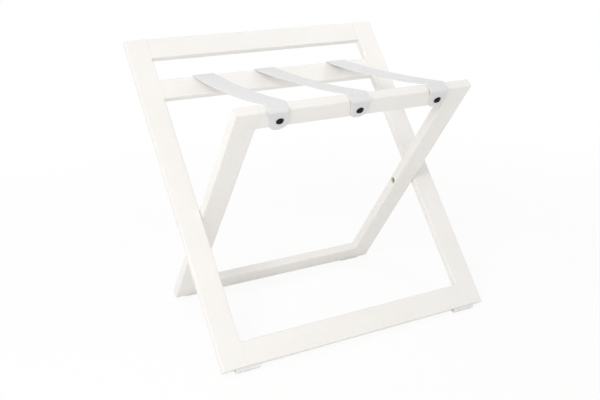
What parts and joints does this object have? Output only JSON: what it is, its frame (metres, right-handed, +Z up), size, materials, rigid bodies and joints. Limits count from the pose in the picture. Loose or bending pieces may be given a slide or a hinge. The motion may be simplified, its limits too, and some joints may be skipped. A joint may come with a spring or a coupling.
{
  "type": "folding luggage stand",
  "caption": "Folding luggage stand: two crossed board frames on side pivots, the rear one with a backrest, joined by straps that hold it open.",
  "frame": {"origin": "on the floor below the middle of the part's bounding box", "axes": "+X to the right across the stand, +Y to the back, where the backrest is, +Z up"},
  "size_m": [0.56, 0.4264, 0.5282],
  "materials": {
    "painted_wood": "white satin paint, fine open grain",
    "strap": "light grey, smooth, semi-matt",
    "black_screw": "black, glossy",
    "bronze_bolt": "dark antique bronze",
    "insert_brass": "plain brass",
    "washer_nylon": "natural nylon",
    "foot_plastic": "milky, satin"
  },
  "bodies": {
    "outer_frame": {"outer_stile_left": "painted_wood", "outer_stile_right": "painted_wood", "backrest_rail": "painted_wood", "strap_rail": "painted_wood", "front_foot_rail": "painted_wood", "strap_left": "strap", "strap_centre": "strap", "strap_right": "strap", "rear_strap_screws": "black_screw", "front_foot_pad_left": "foot_plastic", "front_foot_pad_right": "foot_plastic", "pivot_bolt_left": "bronze_bolt", "pivot_bolt_right": "bronze_bolt", "threaded_inserts": "insert_brass", "pivot_washers": "washer_nylon"},
    "inner_frame": {"inner_stile_left": "painted_wood", "inner_stile_right": "painted_wood", "seat_rail": "painted_wood", "rear_foot_rail": "painted_wood", "front_strap_screws": "black_screw", "rear_foot_pad_left": "foot_plastic", "rear_foot_pad_right": "foot_plastic"}
  },
  "joints": [
    {"name": "frame_fold", "type": "hinge", "parent": "outer_frame", "child": "inner_frame", "pos_m": [0, -0.02548, 0.2305], "axis": [-1, 0, 0], "range_deg": [0, 72], "deforming": ["strap_left", "strap_centre", "strap_right"]}
  ]
}
